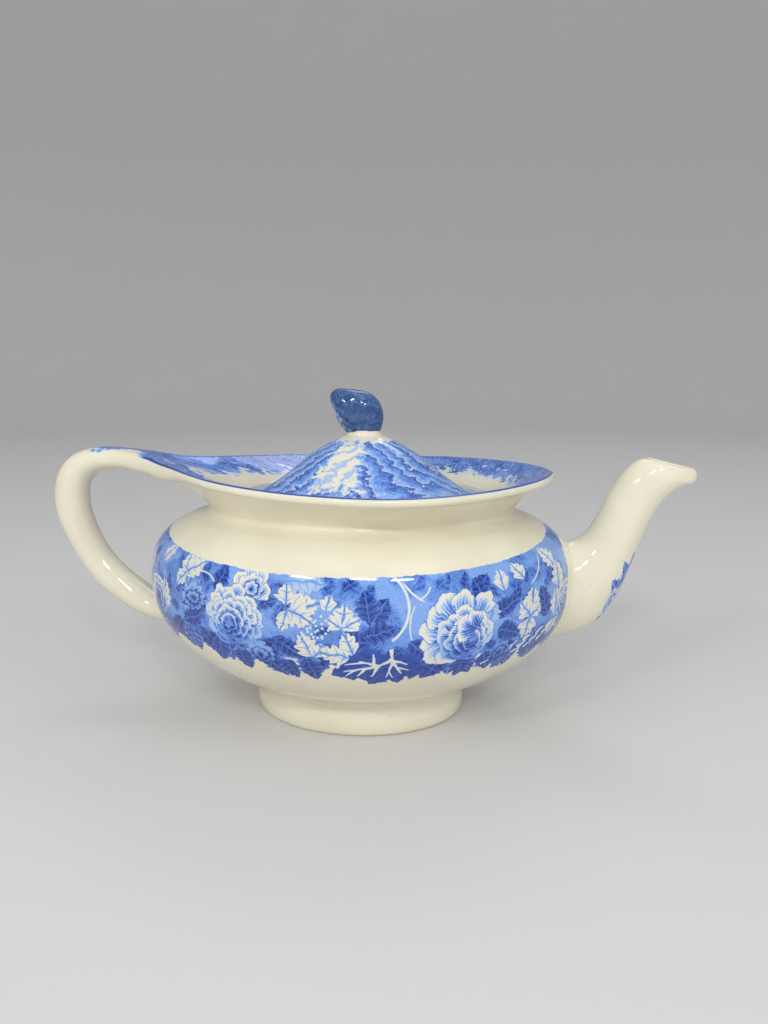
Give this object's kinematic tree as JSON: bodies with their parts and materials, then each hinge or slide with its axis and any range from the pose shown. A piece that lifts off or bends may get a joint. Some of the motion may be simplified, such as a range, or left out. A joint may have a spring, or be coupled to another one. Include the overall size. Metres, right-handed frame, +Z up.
{
  "type": "lidded teapot",
  "caption": "Oval glazed earthenware teapot with a squat bowl, a dished rim running into a loop handle, a swan-neck spout and a lift-off domed lid with a leaf knob",
  "frame": {"origin": "on the table, under the middle of the bowl, in the plane of the foot's tread", "axes": "+X towards the spout, -X towards the handle, +Y away from the printed front, +Z up"},
  "size_m": [0.2789, 0.1402, 0.1412],
  "materials": {
    "printed_glaze": "glossy cream glaze with a blue printed band",
    "cream_glaze": "glossy plain cream glaze",
    "rim_print": "glossy glaze, blue printed border and cream middle",
    "strap_glaze": "glossy cream glaze with a blue print along the top of the strap",
    "spout_glaze": "glossy cream glaze with a small blue sprig",
    "lid_print": "glossy glaze, blue print all over",
    "knob_glaze": "glossy mottled blue glaze"
  },
  "bodies": {
    "pot": {"bowl": "printed_glaze", "foot_ring": "cream_glaze", "collar": "cream_glaze", "rim": "rim_print", "handle": "strap_glaze", "spout": "spout_glaze"},
    "lid": {"lid_dome": "lid_print", "lid_ring": "cream_glaze", "knob_collar": "cream_glaze", "lid_knob": "knob_glaze"}
  },
  "joints": [
    {"name": "lid_lift", "type": "slide", "parent": "pot", "child": "lid", "axis": [0, 0, 1], "range_m": [0, 0.08]}
  ]
}
